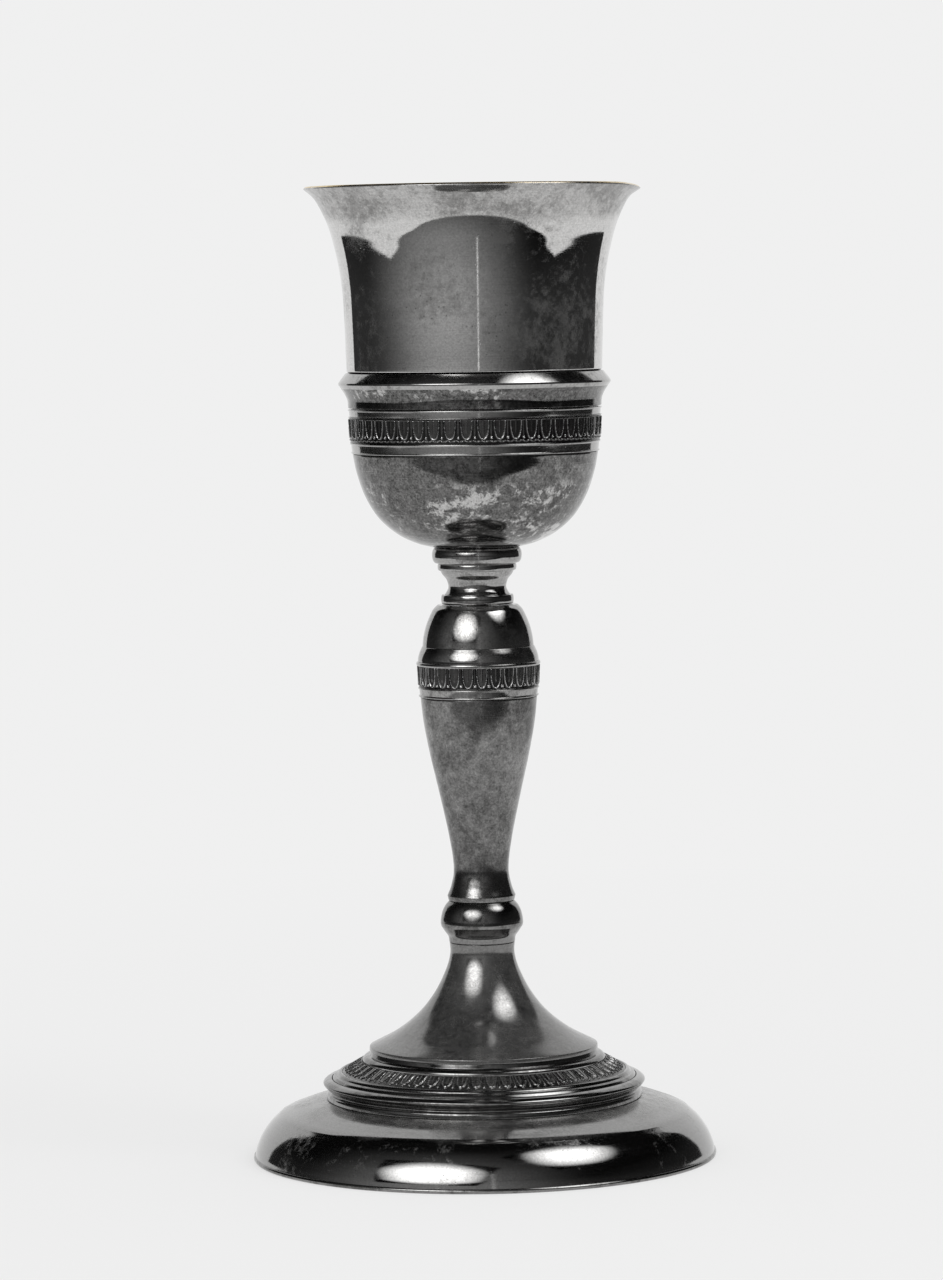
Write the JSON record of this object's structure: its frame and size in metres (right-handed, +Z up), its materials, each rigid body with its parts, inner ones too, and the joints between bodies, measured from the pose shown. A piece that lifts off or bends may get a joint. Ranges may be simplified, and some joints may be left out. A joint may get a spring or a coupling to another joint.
{
  "type": "standing altar cup",
  "caption": "Silver altar cup with a flared bowl in a banded calyx, a baluster stem on a tie rod and a stepped round foot.",
  "frame": {"origin": "centre of the foot, on the surface that the cup stands on", "axes": "+Z up along the axis that every piece is turned about; X and Y are alike, because the cup is round"},
  "size_m": [0.1264, 0.1264, 0.265],
  "materials": {
    "cup_silver": "polished silver with fine turning lines, gilt inside",
    "silver": "polished silver with cloudy grey tarnish",
    "chased_silver": "stamped silver frieze, darkened in its hollows",
    "rod_steel": "dull threaded iron rod",
    "nut_brass": "dull turned brass"
  },
  "bodies": {
    "chalice": {"cup_bowl": "cup_silver", "cup_boss": "silver", "calyx_shell": "silver", "calyx_rim_moulding": "silver", "calyx_upper_wire": "silver", "calyx_frieze_band": "chased_silver", "calyx_lower_wire": "silver", "stem_top_collar": "silver", "stem_collar_fillet": "silver", "stem_neck": "silver", "neck_fillet_ring": "silver", "knop_dome": "silver", "knop_shoulder_moulding": "silver", "knop_upper_wire": "silver", "knop_frieze_band": "chased_silver", "knop_lower_wire": "silver", "knop_body": "silver", "lower_ring_knop": "silver", "foot_trumpet": "silver", "foot_step_moulding": "silver", "foot_frieze_band": "chased_silver", "foot_frieze_wire": "silver", "foot_torus": "silver", "foot_scotia_ring": "silver", "base_skirt": "silver", "base_foot_wire": "silver", "tie_rod": "rod_steel"},
    "plate": {"bearing_plate": "nut_brass"},
    "nut": {"foot_nut": "nut_brass"}
  },
  "joints": [
    {"name": "nut_travel", "type": "slide", "parent": "chalice", "child": "plate", "axis": [0, 0, -1], "range_m": [0, 0.006]},
    {"name": "nut_turn", "type": "hinge", "parent": "plate", "child": "nut", "pos_m": [0, 0, 0.0356], "axis": [0, 0, -1], "range_deg": [0, 2160]}
  ],
  "couplings": [
    {"joint": "nut_turn", "follows": "nut_travel", "rad_per_m": 6283.2}
  ]
}
